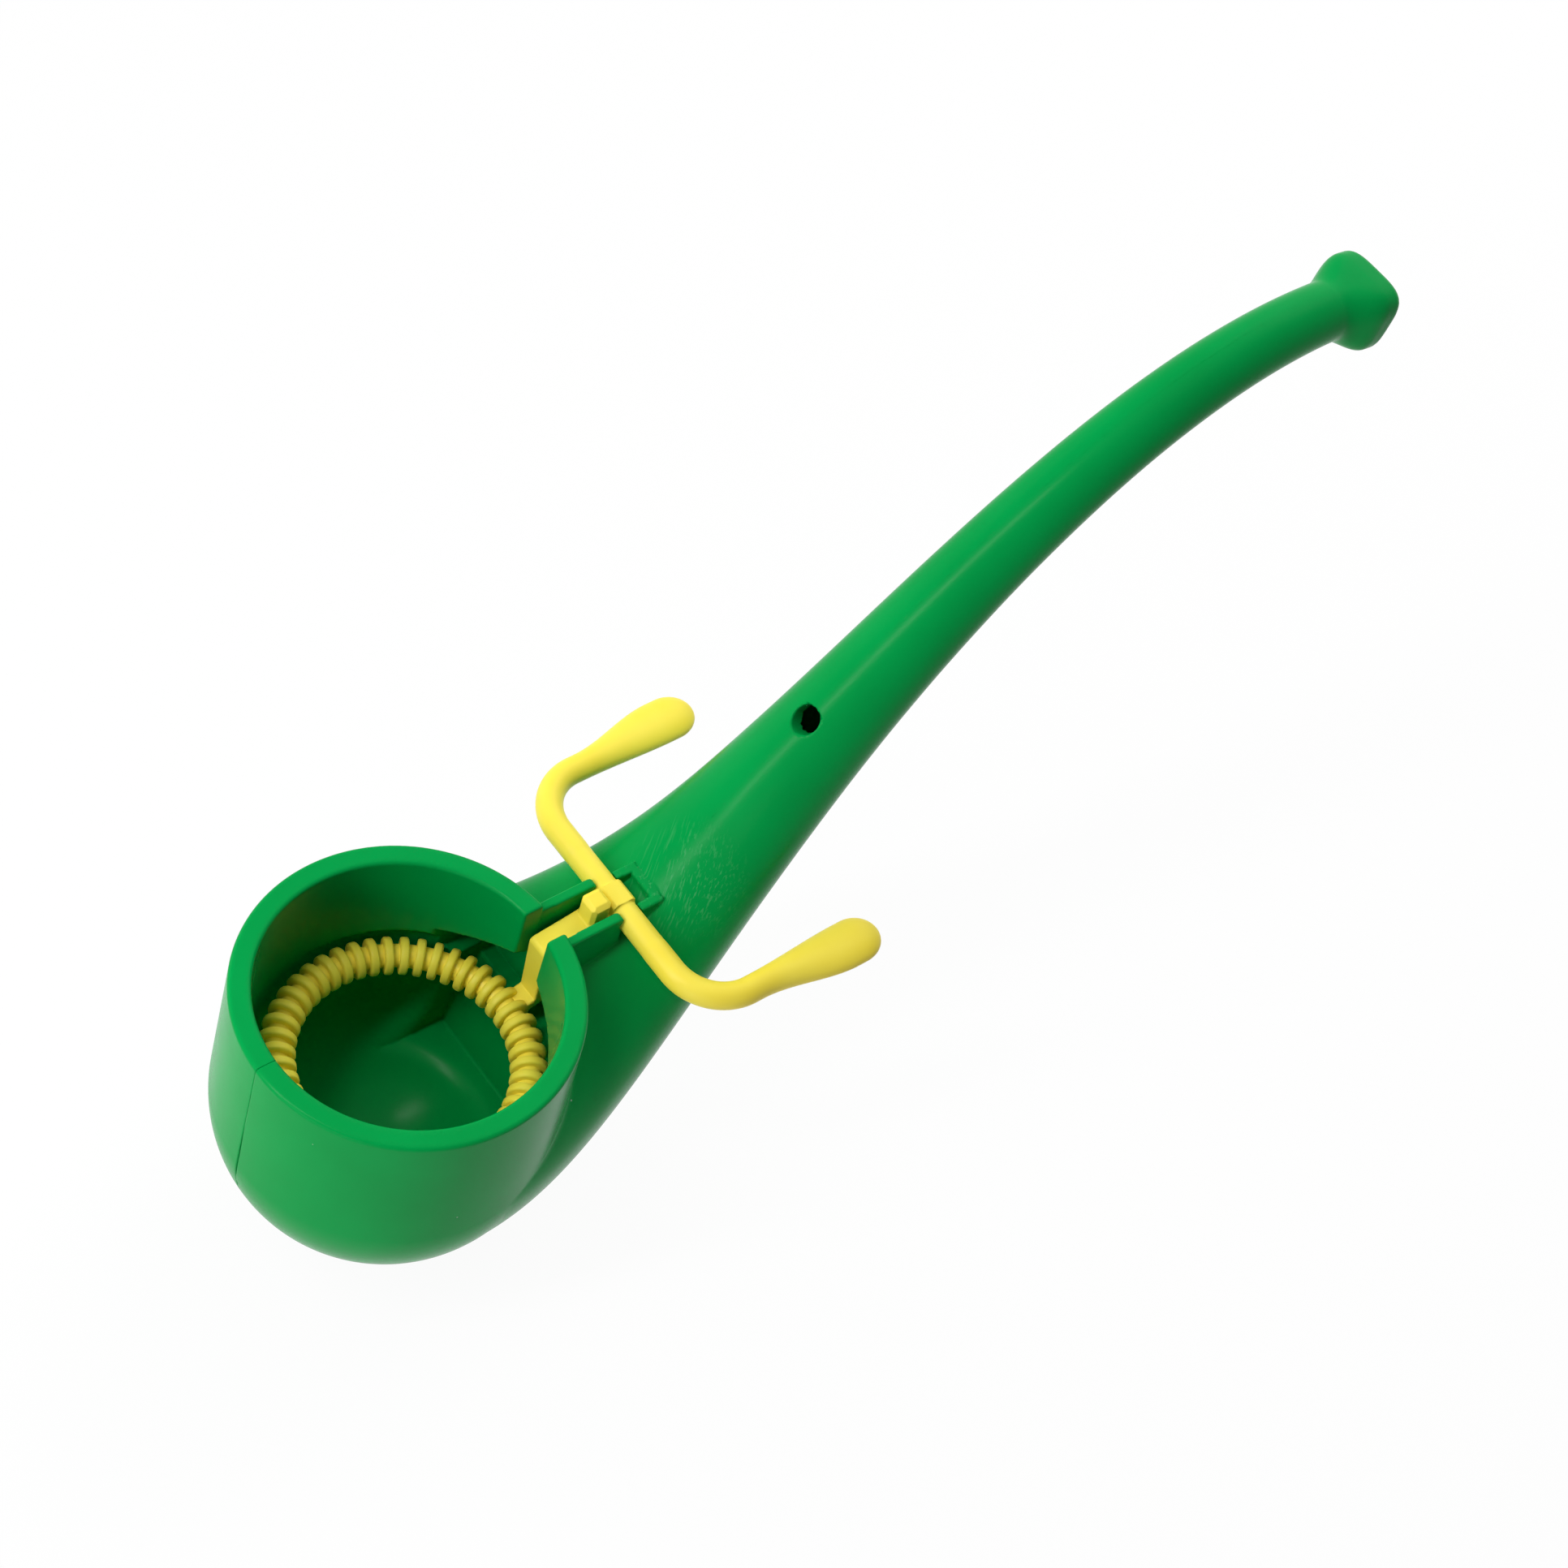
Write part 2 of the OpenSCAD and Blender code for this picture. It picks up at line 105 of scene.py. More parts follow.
def cubic(p, t):
    """Points of a cubic curve, from its four control points."""
    return ((1 - t) ** 3)[:, None] * p[0] + (3 * (1 - t) ** 2 * t)[:, None] * p[1] \
        + (3 * (1 - t) * t * t)[:, None] * p[2] + (t ** 3)[:, None] * p[3]


steps = np.linspace(0, 1, curve_points)
shank_curve = [root_at, root_at + root_pull * root_way, rise_at - rise_pull_in * rise_way, rise_at]
stem_curve = [rise_at, rise_at + rise_pull_out * rise_way, bit_at - bit_pull * bit_way, bit_at]
raw = np.vstack([cubic(shank_curve, steps), cubic(stem_curve, steps)[1:]])
raw_s = np.r_[0, np.cumsum(np.hypot(*np.diff(raw, axis=0).T))]
pipe_len = raw_s[-1]
line_s = np.linspace(0, pipe_len, station_count)
line_x, line_z = np.interp(line_s, raw_s, raw[:, 0]), np.interp(line_s, raw_s, raw[:, 1])
line_a = np.unwrap(np.arctan2(np.gradient(line_z), np.gradient(line_x)))
line_bend = np.gradient(line_a, line_s)
line_cos, line_sin = np.cos(line_a), np.sin(line_a)


def pipe_station(x, z):
    """Length along the pipe, height over its centre line and overrun past its two ends."""
    batch, least_stretch, no_overrun = 20000, 0.2, -9.0
    shape = np.broadcast(x, z).shape
    px = np.broadcast_to(x, shape).ravel()
    pz = np.broadcast_to(z, shape).ravel()
    nearest = np.empty(px.size, int)
    for at in range(0, px.size, batch):
        cut = slice(at, at + batch)
        apart = (px[cut, None] - line_x) ** 2 + (pz[cut, None] - line_z) ** 2
        nearest[cut] = apart.argmin(1)
    dx, dz = px - line_x[nearest], pz - line_z[nearest]
    forth = dx * line_cos[nearest] + dz * line_sin[nearest]
    height = dz * line_cos[nearest] - dx * line_sin[nearest]
    s = line_s[nearest] + forth / np.maximum(least_stretch, 1 - line_bend[nearest] * height)
    past_bit = np.where(nearest == len(line_s) - 1, forth, no_overrun)
    over = np.where(nearest == 0, -forth, past_bit)
    return np.clip(s, 0, pipe_len).reshape(shape), height.reshape(shape), over.reshape(shape)


# Outside of the bowl and the shank. The shank's crown is flat beside the hinge and turns round
# towards the stem, which flares to a squarish lip. A fillet fills the crease beside the bowl.
bowl_r, belly_r, rim_round = 20.0, 20.35, 0.5
sole_z = -40.4
root_r, stem_thin, taper_len, taper_power = 20.2, 2.8, 34.9, 2.06
top_flat, flat_from, flat_to = 0.71, 42.6, 65.3
lip_w, lip_h, lip_len, neck_len = 10.45, 9.22, 2.6, 5.0
lip_round, lip_square, lip_trim = 1.4, 3.8, 0.05
crease_z, crease_r = [-36, -26], [0.03, 0.45]
crease_x, crease_share = [5, 13], [0.07, 1]


def swell(s):
    """Half width of the shank and stem."""
    return stem_thin + (root_r - stem_thin) / (1 + (s / taper_len) ** taper_power)


def crown(s):
    """Height of the shank's top as a share of its half width."""
    return top_flat + (1 - top_flat) * eased((s - flat_from) / (flat_to - flat_from))


def pipe_outside(x, y, z, s, n, over, radius, ball):
    """Depth of the bowl, shank, stem and lip as one full body."""
    width = swell(s)
    flare = eased((s - (pipe_len - lip_len - neck_len)) / neck_len)
    turn = np.clip(s - pipe_len + lip_round, 0, lip_round)
    inset = lip_round - np.sqrt(lip_round ** 2 - turn ** 2)
    half_w = width + (lip_w / 2 - width) * flare - inset
    top = crown(s) * width + (lip_h / 2 - width) * flare - inset
    under = width + (lip_h / 2 - width) * flare - inset
    shank = oval_depth(y, n, half_w, np.where(n > 0, top, under), 2 + (lip_square - 2) * flare)
    shank = sharp_meet(shank, over + lip_trim, sole_z - z)
    wall = radius - bowl_r + (belly_r - bowl_r) * z / belly_depth
    side = np.where(z > -belly_depth, wall, ball - belly_r)
    crease = np.interp(z, crease_z, crease_r) * np.interp(x, crease_x, crease_share)
    return filleted_join(rounded_meet(side, z, rim_round), shank, crease)


# Hinge seat: two fins run from the bowl to the crossbar, and an open bracket stands on its other
# side. The crossbar snaps in through the mouth between them, into round seats.
hinge_x, hinge_z = 29.1, -2.9627
snap_mouth, seat_r, seat_round = 2.5, 1.7, 0.12
slot_half, slot_end, slot_drop = 2.1, 21.5, 1
block_room = 2.475
fin_t, fin_rise, fin_round, fin_fillet = 1.25, 1.7, 0.9, 0.25
fin_root, fin_foot_z = 1.3, -11
bracket_len, bracket_wall, bracket_half = 3.5, 1.25, 1.85
bracket_rise, bracket_foot = 1.0, 4
bracket_round, bracket_inner_round, bracket_end_round, bracket_fillet = 0.3, 0.15, 0.2, 0.2


def hinge_seat(x, y_out, z, bar):
    """Depths of a fin and of the bracket, with the crossbar's round seat cut in both."""
    fin_end, fin_top = hinge_x - snap_mouth / 2, hinge_z + fin_rise
    fin = rounded_meet(x - fin_end, z - fin_top, fin_round)
    fin = rounded_meet(fin, np.abs(y_out - slot_half - fin_t / 2) - fin_t / 2, edge_round)
    fin = sharp_meet(fin, bowl_r - fin_root - x, fin_foot_z - z)
    fin = rounded_meet(fin, seat_r - bar, seat_round)
    front = hinge_x + snap_mouth / 2
    inner = np.maximum(y_out - bracket_half, x - front - bracket_len + bracket_wall)
    sides = y_out - bracket_half - bracket_wall
    outer = rounded_meet(sides, x - front - bracket_len, bracket_round)
    bracket = rounded_meet(outer, -inner, bracket_inner_round)
    bracket = rounded_meet(bracket, z - hinge_z - bracket_rise, edge_round)
    bracket = rounded_meet(bracket, front - x, bracket_end_round)
    bracket = sharp_meet(bracket, hinge_z - bracket_foot - z, seat_r - bar)
    return fin, bracket


# Inside of the bowl: a round hollow that opens towards the shank. The ring lies in a room there, on
# a ledge and under a gabled roof, and below the ledge a slanted plate closes the hollow.
bore_r, hollow_r, rim_band_h = 17.35, 17.15, 3.0
ring_back, ring_z, ring_r, rib_r = 1.6, -16.0, 14.5, 2.25
ring_out = ring_r + rib_r
wand_clear, room_straight, room_slope, room_round = 0.45, 1.2, 0.6, 0.25
pocket_half, pocket_deep, ledge_deep = 9.5, 3.0, 2.0
pocket_top = ring_z + rib_r + 2 * wand_clear
pocket_x = ring_back + ring_out + pocket_deep
plate_lean, plate_drop, plate_from, plate_lap = 3.3, 12.4, 8, 0.5
ledge_x, ledge_z = pocket_x - ledge_deep, ring_z - rib_r - wand_clear
foot_x, foot_z = ledge_x - plate_lean, ledge_z - plate_drop
melt_z, melt_r = [-26, -22], [1.5, 0.05]
gable_half, gable_drop, gable_level, gable_lean = 11.5, 4, 4.3, 0.85
ridge_rise, ridge_end_rise = 6, 3.9
eaves_rise, eaves_wall_drop, eaves_end_drop = 0.8, 0.5, 2.6
gable_x = [0, bore_r - gable_level, bore_r, pocket_x - wand_clear]
gable_ridge = [pocket_top + ridge_rise] * 3 + [pocket_top + ridge_end_rise]
gable_eaves = [pocket_top + eaves_rise] * 2
gable_eaves += [pocket_top - eaves_wall_drop, pocket_top - eaves_end_drop]


def bowl_hollow(x, y_out, z, radius, ball):
    """Depth of the bowl's hollow, down to the slanted plate."""
    wall_r = np.interp(z, [-belly_depth, -rim_band_h, 0], [hollow_r, bore_r, bore_r])
    hollow = np.where(z > -belly_depth, radius - wall_r, ball - hollow_r)
    plate = x - np.interp(z, [foot_z, ledge_z], [foot_x, ledge_x])
    below = sharp_meet(plate, foot_z - z, z - ledge_z - plate_lap,
                       y_out - pocket_half, plate_from - x)
    return melted_join(hollow, below, np.interp(z, melt_z, melt_r))


def ring_room(x, y, z):
    """Depth of the room that the ring and the arm's foot lie in."""
    y_out = np.abs(y)
    pocket = sharp_meet(x - pocket_x, ledge_z - z, z - pocket_top, y_out - pocket_half, -x)
    bevel = np.maximum(np.abs(z - ring_z) - room_straight, 0) * room_slope
    room = np.hypot(x - ring_back, y) - ring_out - wand_clear + bevel
    room = sharp_meet(room, ledge_z - z, z - pocket_top + wand_clear)
    roof = np.interp(x, gable_x, gable_ridge)
    roof = roof + (np.interp(x, gable_x, gable_eaves) - roof) * y_out / gable_half
    gable = sharp_meet((z - roof) * gable_lean, pocket_top - gable_drop - z,
                       y_out - gable_half, x - gable_x[-1], -x)
    return sharp_join(pocket, room, gable)


# Air way: a channel through the stem at one wall thickness, and the air hole on top of the stem,
# which blows at the raised ring.
stem_wall, channel_least, crown_least, air_round = 1.9, 0.2, 2.2, 0.2
hole_x, hole_z, hole_r, jet_angle = 51.6, 17.62, 1.7, 159.03


def air_way(x, y, z, s, n):
    """Depth of the air channel and of the air hole."""
    width = swell(s)
    channel_w = np.maximum(width - stem_wall, channel_least)
    channel_h = np.where(n > 0, np.maximum(crown(s) * width, crown_least), width) - stem_wall
    behind = np.interp(z, [foot_z, ledge_z], [foot_x + stem_wall, pocket_x + stem_wall])
    channel = np.maximum(oval_depth(y, n, channel_w, channel_h, 2), behind - x)
    jet_x, jet_z = heading(jet_angle)
    out = (x - hole_x) * jet_x + (z - hole_z) * jet_z
    off = (z - hole_z) * jet_x - (x - hole_x) * jet_z
    hole = np.maximum(np.hypot(off, y) - hole_r, -out - stem_wall - 2 * hole_r)
    return sharp_join(channel, hole)


# Weld: the halves' edges are rounded most at the bowl's front, where the seam shows as a groove.
# Past the bowl's middle they meet flush, and the shading runs over the seam.
seam_x, seam_round = [-18, 8], [0.1, 0.004]
flush_x, flush_from = [-4, 8], [0, -1]


def pipe_depth(x, y, z, seam_from=0.0):
    """Distance outside the left half of the pipe, negative inside its plastic."""
    y_out = np.abs(y)
    radius = np.hypot(x, y)
    ball = np.hypot(radius, z + belly_depth)
    bar = np.hypot(x - hinge_x, z - hinge_z)
    s, n, over = pipe_station(x, z)
    fin, bracket = hinge_seat(x, y_out, z, bar)
    solid = pipe_outside(x, y, z, s, n, over, radius, ball)
    solid = filleted_join(filleted_join(solid, fin, fin_fillet), bracket, bracket_fillet)
    solid = rounded_meet(solid, -bowl_hollow(x, y_out, z, radius, ball), rim_round)
    solid = rounded_meet(solid, -ring_room(x, y, z), room_round)
    slot = sharp_meet(y_out - slot_half, x - slot_end, pocket_top - slot_drop - z, -x)
    block_space = np.maximum(bar - block_room, y_out - bracket_half)
    solid = rounded_meet(solid, -sharp_join(slot, block_space), edge_round)
    solid = rounded_meet(solid, -air_way(x, y, z, s, n), air_round)
    return rounded_meet(solid, seam_from - y, np.interp(x, seam_x, seam_round))


def pipe_shade(x, y, z):
    """The pipe's depth for its normals, without the seam past the bowl's middle."""
    return pipe_depth(x, y, z, np.interp(x, flush_x, flush_from))


def depth_slope(depth, p, reach=0.06):
    """Direction in which a solid's depth grows, at points in rows."""
    slope = np.empty_like(p)
    for axis in range(3):
        step = np.zeros(3)
        step[axis] = reach
        ahead, behind = p + step, p - step
        slope[:, axis] = depth(*ahead.T) - depth(*behind.T)
    return slope / (2 * reach)


def fill_pinches(field):
    """Joins plastic that meets only corner to corner on the grid, or an edge gets four faces."""
    rounds, filled = 4, -0.001
    for _ in range(rounds):
        for axis in range(3):
            layer = np.moveaxis(field, axis, 0)
            a, b = layer[:, :-1, :-1], layer[:, 1:, :-1]
            c, d = layer[:, :-1, 1:], layer[:, 1:, 1:]
            pinched = ((a < 0) == (d < 0)) & ((b < 0) == (c < 0)) & ((a < 0) != (b < 0))
            for empty in (a, b):
                empty[pinched & (empty >= 0)] = filled


def settled(depth, points):
    """Points of a mesh moved onto the solid's surface, in a few short steps."""
    rounds, least_slope, longest_push, tiny = 4, 0.2, 0.25, 1e-9
    for _ in range(rounds):
        slope = depth_slope(depth, points)
        steep = np.maximum((slope ** 2).sum(1), least_slope)
        push = -(depth(*points.T) / steep)[:, None] * slope
        length = np.maximum(np.linalg.norm(push, axis=1), tiny)
        points = points + push * np.minimum(1, longest_push / length)[:, None]
    return points


def skin(depth, shade, xs, ys, zs):
    """Points, four-sided faces and normals of a solid's surface, a point for each crossed cell."""
    slab, tiny = 8, 1e-9
    field = np.concatenate([
        depth(xs[at:at + slab, None, None], ys[None, :, None], zs[None, None, :])
        for at in range(0, len(xs), slab)
    ])
    fill_pinches(field)
    inside = field < 0
    corners = [(i, j, k) for i in (0, 1) for j in (0, 1) for k in (0, 1)]
    size = np.array(field.shape) - 1

    def corner(array, c):
        return array[c[0]:c[0] + size[0], c[1]:c[1] + size[1], c[2]:c[2] + size[2]]

    count = sum(corner(inside, c).astype(np.int8) for c in corners)
    cells = np.argwhere((count > 0) & (count < len(corners)))
    number = np.full(size, -1)
    number[tuple(cells.T)] = np.arange(len(cells))
    levels = (xs, ys, zs)
    total, crossings = np.zeros((len(cells), 3)), np.zeros(len(cells))
    for c in corners:
        for axis in range(3):
            if c[axis]:
                continue
            d = list(c)
            d[axis] = 1
            a, b = cells + c, cells + d
            fa, fb = field[tuple(a.T)], field[tuple(b.T)]
            cross = (fa < 0) != (fb < 0)
            share = np.where(cross, fa / np.where(cross, fa - fb, 1), 0)
            pa = np.stack([levels[k][a[:, k]] for k in range(3)], 1)
            pb = np.stack([levels[k][b[:, k]] for k in range(3)], 1)
            total += np.where(cross[:, None], pa + share[:, None] * (pb - pa), 0)
            crossings += cross
    faces = []
    for axis in range(3):
        u, v = (axis + 1) % 3, (axis + 2) % 3
        low, high = [slice(1, -1)] * 3, [slice(1, -1)] * 3
        low[axis], high[axis] = slice(0, -1), slice(1, None)
        start, end = inside[tuple(low)], inside[tuple(high)]
        for leaving in (True, False):
            edges = np.argwhere((start == leaving) & (end != leaving))
            edges[:, [u, v]] += 1
            ring = []
            for du, dv in ((1, 1), (0, 1), (0, 0), (1, 0)):
                cell = edges.copy()
                cell[:, u] -= du
                cell[:, v] -= dv
                ring.append(number[tuple(cell.T)])
            faces.append(np.stack(ring if leaving else ring[::-1], 1))
    points = settled(depth, total / crossings[:, None])
    slope = depth_slope(shade, points)
    normals = slope / np.maximum(np.linalg.norm(slope, axis=1), tiny)[:, None]
    return points, np.concatenate(faces), normals


def spaced(start, *spans):
    """Levels of a grid from a start, where each span is its end and its spacing."""
    levels = [start]
    for end, gap in spans:
        count = max(1, round((end - levels[-1]) / gap))
        levels += list(np.linspace(levels[-1], end, count + 1)[1:])
    return np.array(levels)


def moulding(name, points, faces, normals, material):
    """A mesh object in metres from points in millimetres, shaded by the solid's own normals."""
    mesh = bpy.data.meshes.new(name)
    mesh.from_pydata((points * mm).tolist(), [], faces.tolist())
    mesh.shade_smooth()
    mesh.normals_split_custom_set_from_vertices(normals.tolist())
    mesh.materials.append(material)
    piece = bpy.data.objects.new(name, mesh)
    bpy.context.scene.collection.objects.link(piece)
    return piece


def put(tree, socket, value):
    """Sets a node's socket to a value, or links it to another node's output."""
    if isinstance(value, bpy.types.NodeSocket):
        tree.links.new(value, socket)
    else:
        socket.default_value = value


def add_node(tree, kind, settings=(), **inputs):
    """A node with its settings, and with values or links on its inputs by name."""
    made = tree.nodes.new(kind)
    for label, choice in dict(settings).items():
        setattr(made, label, choice)
    for label, value in inputs.items():
        put(tree, made.inputs[label.replace("_", " ")], value)
    return made


def figure(tree, operation, *values):
    """Result of a Math node on values or links."""
    made = tree.nodes.new("ShaderNodeMath")
    made.operation = operation
    for socket, value in zip(made.inputs, values):
        put(tree, socket, value)
    return made.outputs["Value"]


def moulded_plastic(name, sheen, cloud_scale, dark, light):
    """A plastic whose tint clouds between two shades, and the parts that its finish builds on."""
    plastic_ior, shade_from, shade_to = 1.49, 0.3, 0.7
    material = bpy.data.materials.new(name)
    material.use_nodes = True
    tree = material.node_tree
    shader = tree.nodes["Principled BSDF"]
    shader.inputs["IOR"].default_value = plastic_ior
    shader.inputs["Specular IOR Level"].default_value = sheen
    place = tree.nodes.new("ShaderNodeTexCoord").outputs["Object"]
    cloud = add_node(tree, "ShaderNodeTexNoise", Vector=place, Scale=cloud_scale, Detail=3)
    tint = add_node(tree, "ShaderNodeValToRGB", Fac=cloud.outputs["Fac"])
    first, last = tint.color_ramp.elements
    first.position, first.color = shade_from, dark
    last.position, last.color = shade_to, light
    return material, shader, place, cloud.outputs["Fac"], tint.outputs["Color"]


green_plastic, shader, place, cloud, tint = moulded_plastic(
    "green_plastic", sheen=0.05, cloud_scale=55,
    dark=(0.0, 0.278, 0.052, 1), light=(0.0, 0.315, 0.062, 1))
tree = green_plastic.node_tree

# Fine rubbed scratches on the crown by the hinge, with a painted glint, and a few dust specks, in
# metres
scratch_turn = (0, math.radians(34.8), math.radians(-30.7))
scratch_along, scratch_across = 160, 3600
scratch_least, scratch_full = 0.54, 0.7
scratch_glint_colour = (0.06, 0.38, 0.13, 1)
scratch_glint_x, scratch_glint_y, scratch_glint_r = 0.036, -0.003, 0.0085
dust_colour, dust_scale, dust_r = (0.3, 0.5, 0.36, 1), 180, 0.022
turn = add_node(tree, "ShaderNodeMapping", Vector=place, Rotation=scratch_turn)
stretch = add_node(tree, "ShaderNodeMapping", Vector=turn.outputs["Vector"],
                   Scale=(scratch_along, scratch_across, scratch_across))
hatch = add_node(tree, "ShaderNodeTexNoise", Vector=stretch.outputs["Vector"], Scale=1, Detail=2)
lines = add_node(tree, "ShaderNodeMapRange", Value=hatch.outputs["Fac"],
                 From_Min=scratch_least, From_Max=scratch_full)
scratch_glint_place = add_node(tree, "ShaderNodeMapping", Vector=place,
                  Location=(-scratch_glint_x / scratch_glint_r, -scratch_glint_y / scratch_glint_r, 0),
                  Scale=(1 / scratch_glint_r, 1 / scratch_glint_r, 1 / scratch_glint_r))
near_hinge = add_node(tree, "ShaderNodeTexGradient", {"gradient_type": "SPHERICAL"},
                      Vector=scratch_glint_place.outputs["Vector"])
scratches_and_glints = figure(tree, "MULTIPLY", lines.outputs["Result"], near_hinge.outputs["Fac"])
# The scratches are real relief, but their lighter colour is a painted glint where the highlight
# falls
glinting_scratches = add_node(tree, "ShaderNodeMix", {"data_type": "RGBA"},
                   Factor=scratches_and_glints, A=tint, B=scratch_glint_colour)
grit = add_node(tree, "ShaderNodeTexVoronoi", Vector=place, Scale=dust_scale)
speck = figure(tree, "LESS_THAN", grit.outputs["Distance"], dust_r)
dusty = add_node(tree, "ShaderNodeMix", {"data_type": "RGBA"},
                 Factor=speck, A=glinting_scratches.outputs["Result"], B=dust_colour)
put(tree, shader.inputs["Base Color"], dusty.outputs["Result"])

# An uneven gloss, and the skin's faint grain with the scratches cut in it
gloss_scale, gloss_best, gloss_worst = 260, 0.2, 0.29
grain_scale, scratch_cut = 1800, 2.5
relief_share, relief_deep = 0.12, 0.00006
gloss = add_node(tree, "ShaderNodeTexNoise", Vector=place, Scale=gloss_scale, Detail=4)
gloss_range = add_node(tree, "ShaderNodeMapRange", Value=gloss.outputs["Fac"],
                       To_Min=gloss_best, To_Max=gloss_worst)
put(tree, shader.inputs["Roughness"], gloss_range.outputs["Result"])
grain = add_node(tree, "ShaderNodeTexNoise", Vector=place, Scale=grain_scale, Detail=2)
rough_skin = figure(tree, "MULTIPLY_ADD", scratches_and_glints, scratch_cut, grain.outputs["Fac"])
relief = add_node(tree, "ShaderNodeBump", Strength=relief_share, Distance=relief_deep,
                  Height=rough_skin)
put(tree, shader.inputs["Normal"], relief.outputs["Normal"])

# The grid is finer at the hinge, the air hole, the lip, the rim and the seam
xs = spaced(-21.0, (16.2, 0.5), (35.2, 0.3), (48.6, 0.55), (55.2, 0.3), (117.4, 0.62),
            (128.4, 0.32))
ys = spaced(-0.012, (0.012, 0.024), (0.05, 0.038), (0.14, 0.09), (0.3, 0.16), (0.6, 0.3),
            (1.8, 0.38), (3.6, 0.2), (21.2, 0.5))
zs = spaced(-41.2, (-9.0, 0.5), (-3.6, 0.34), (-2.6, 0.2), (-0.9, 0.28), (0.25, 0.17),
            (14.0, 0.55), (20.5, 0.34), (60.0, 0.5))
points, faces, normals = skin(pipe_depth, pipe_shade, xs, ys, zs)
left_half = moulding("pipe_half_left", points, faces, normals, green_plastic)
mirror = np.array([1, -1, 1])
right_half = moulding("pipe_half_right", points * mirror, faces[:, ::-1], normals * mirror,
                      green_plastic)
for piece, node in ((left_half, "left_shell"), (right_half, "right_shell")):
    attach(piece, "pipe")
    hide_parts(node)


# Wand: the crossbar with its two finger paddles, the block, the thumb knob and the bent arm that
# holds the soap ring. One moulding in yellow polypropylene, snapped into the seats of the pipe.
bar_r, grip_r, bar_half, bend_r = 1.6, 1.65, 17.712, 6.5
journal_half, step_len = 7.3, 0.7
paddle_reach, paddle_w, paddle_t, paddle_shift = 25.0, 5.98, 3.1, 0.8
paddle_from, paddle_full, paddle_tip, tip_least = 7.5, 0.72, 0.8, 0.0025
arm_w, arm_t, arm_round, arm_fillet = 3.0, 1.5, 0.2, 0.3
arm_drop, arm_bend_x, arm_bend_drop, arm_foot_x = 0.6, 19.0, 2.2, 19.6
arm_line = [(hinge_x, hinge_z - arm_drop), (arm_bend_x, hinge_z - arm_bend_drop),
            (arm_foot_x, ring_z + rib_r / 2), (ring_back + ring_r, ring_z)]
block_half, block_high, block_cut, block_fillet = 1.6, 1.7, 0.5, 0.2
knob_front, knob_back, knob_half, knob_top, knob_foot = 4.55, 1.75, 1.45, 2.6, 2
knob_cut, knob_fillet = 0.5, 0.2
chamfer = math.sqrt(0.5)
bend_from = bar_half - bend_r
arc_len = bend_r * math.pi / 2


def bar_station(x, y):
    """Length along half of the crossbar's bent line from the middle, and the offset outwards."""
    tiny = 1e-9
    bx, by = x - hinge_x, np.abs(y)
    straight = by < bend_from
    beside = bx > bend_r
    cx, cy = bx - bend_r, by - bend_from
    angle = np.arctan2(np.maximum(cy, 0), np.maximum(-cx, tiny))
    s = np.where(straight & ~beside, by, bend_from + bend_r * angle)
    out = np.where(straight & ~beside, -bx, np.hypot(cx, cy) - bend_r)
    s = np.where(beside, bend_from + arc_len + bx - bend_r, s)
    out = np.where(beside, by - bar_half, out)
    return s, out


def arm_depth(x, y, z):
    """Depth of the arm, a flat bar along its bent line."""
    nowhere = 99.0
    arm = np.full(np.broadcast(x, y, z).shape, nowhere)
    for (x0, z0), (x1, z1) in zip(arm_line[:-1], arm_line[1:]):
        dx, dz = x1 - x0, z1 - z0
        t = np.clip(((x - x0) * dx + (z - z0) * dz) / (dx * dx + dz * dz), 0, 1)
        arm = np.minimum(arm, np.hypot(x - x0 - t * dx, z - z0 - t * dz) - arm_t / 2)
    return rounded_meet(arm, np.abs(y) - arm_w / 2, arm_round)


def wand_depth(x, y, z):
    """Distance outside the wand without its ring, negative inside its plastic."""
    y_out = np.abs(y)
    s, out = bar_station(x, y)
    thick = bar_r + (grip_r - bar_r) * np.clip((s - journal_half) / step_len, 0, 1)
    paddle_s = bend_from + arc_len + paddle_from - bend_r
    u = (s - paddle_s) / (paddle_reach - paddle_from)
    full = eased(u / paddle_full)
    past = np.clip(u - paddle_tip, 0, None) / (1 - paddle_tip)
    tip = np.sqrt(np.clip(1 - past ** 2, tip_least, 1))
    half_w = (thick + (paddle_w / 2 - grip_r) * full) * tip
    half_h = (thick + (paddle_t / 2 - grip_r) * full) * tip
    solid = oval_depth(out - paddle_shift * full, z - hinge_z, half_w, half_h, 2)
    solid = np.maximum(solid, x - hinge_x - paddle_reach)

    bx, bz = np.abs(x - hinge_x), np.abs(z - hinge_z)
    block = sharp_meet(bx - block_half, bz - block_high, y_out - block_half,
                       (bx + bz - block_half - block_high + block_cut) * chamfer)
    kx = np.abs(x - hinge_x + (knob_front + knob_back) / 2) - (knob_front - knob_back) / 2
    kz, ky = z - hinge_z - knob_top, y_out - knob_half
    knob = sharp_meet(kx, ky, kz, hinge_z - knob_foot - z)
    for a, b in ((kx, kz), (ky, kz), (kx, ky)):
        knob = np.maximum(knob, (a + b + knob_cut) * chamfer)
    solid = filleted_join(solid, block, block_fillet)
    solid = filleted_join(solid, arm_depth(x, y, z), arm_fillet)
    return filleted_join(solid, knob, knob_fillet)


gloss_best, gloss_worst = 0.3, 0.42
yellow_plastic, shader, place, cloud, tint = moulded_plastic(
    "yellow_plastic", sheen=0.2, cloud_scale=120,
    dark=(0.92, 0.735, 0.06, 1), light=(0.95, 0.79, 0.085, 1))
tree = yellow_plastic.node_tree
put(tree, shader.inputs["Base Color"], tint)
gloss_range = add_node(tree, "ShaderNodeMapRange", Value=cloud,
                       To_Min=gloss_best, To_Max=gloss_worst)
put(tree, shader.inputs["Roughness"], gloss_range.outputs["Result"])

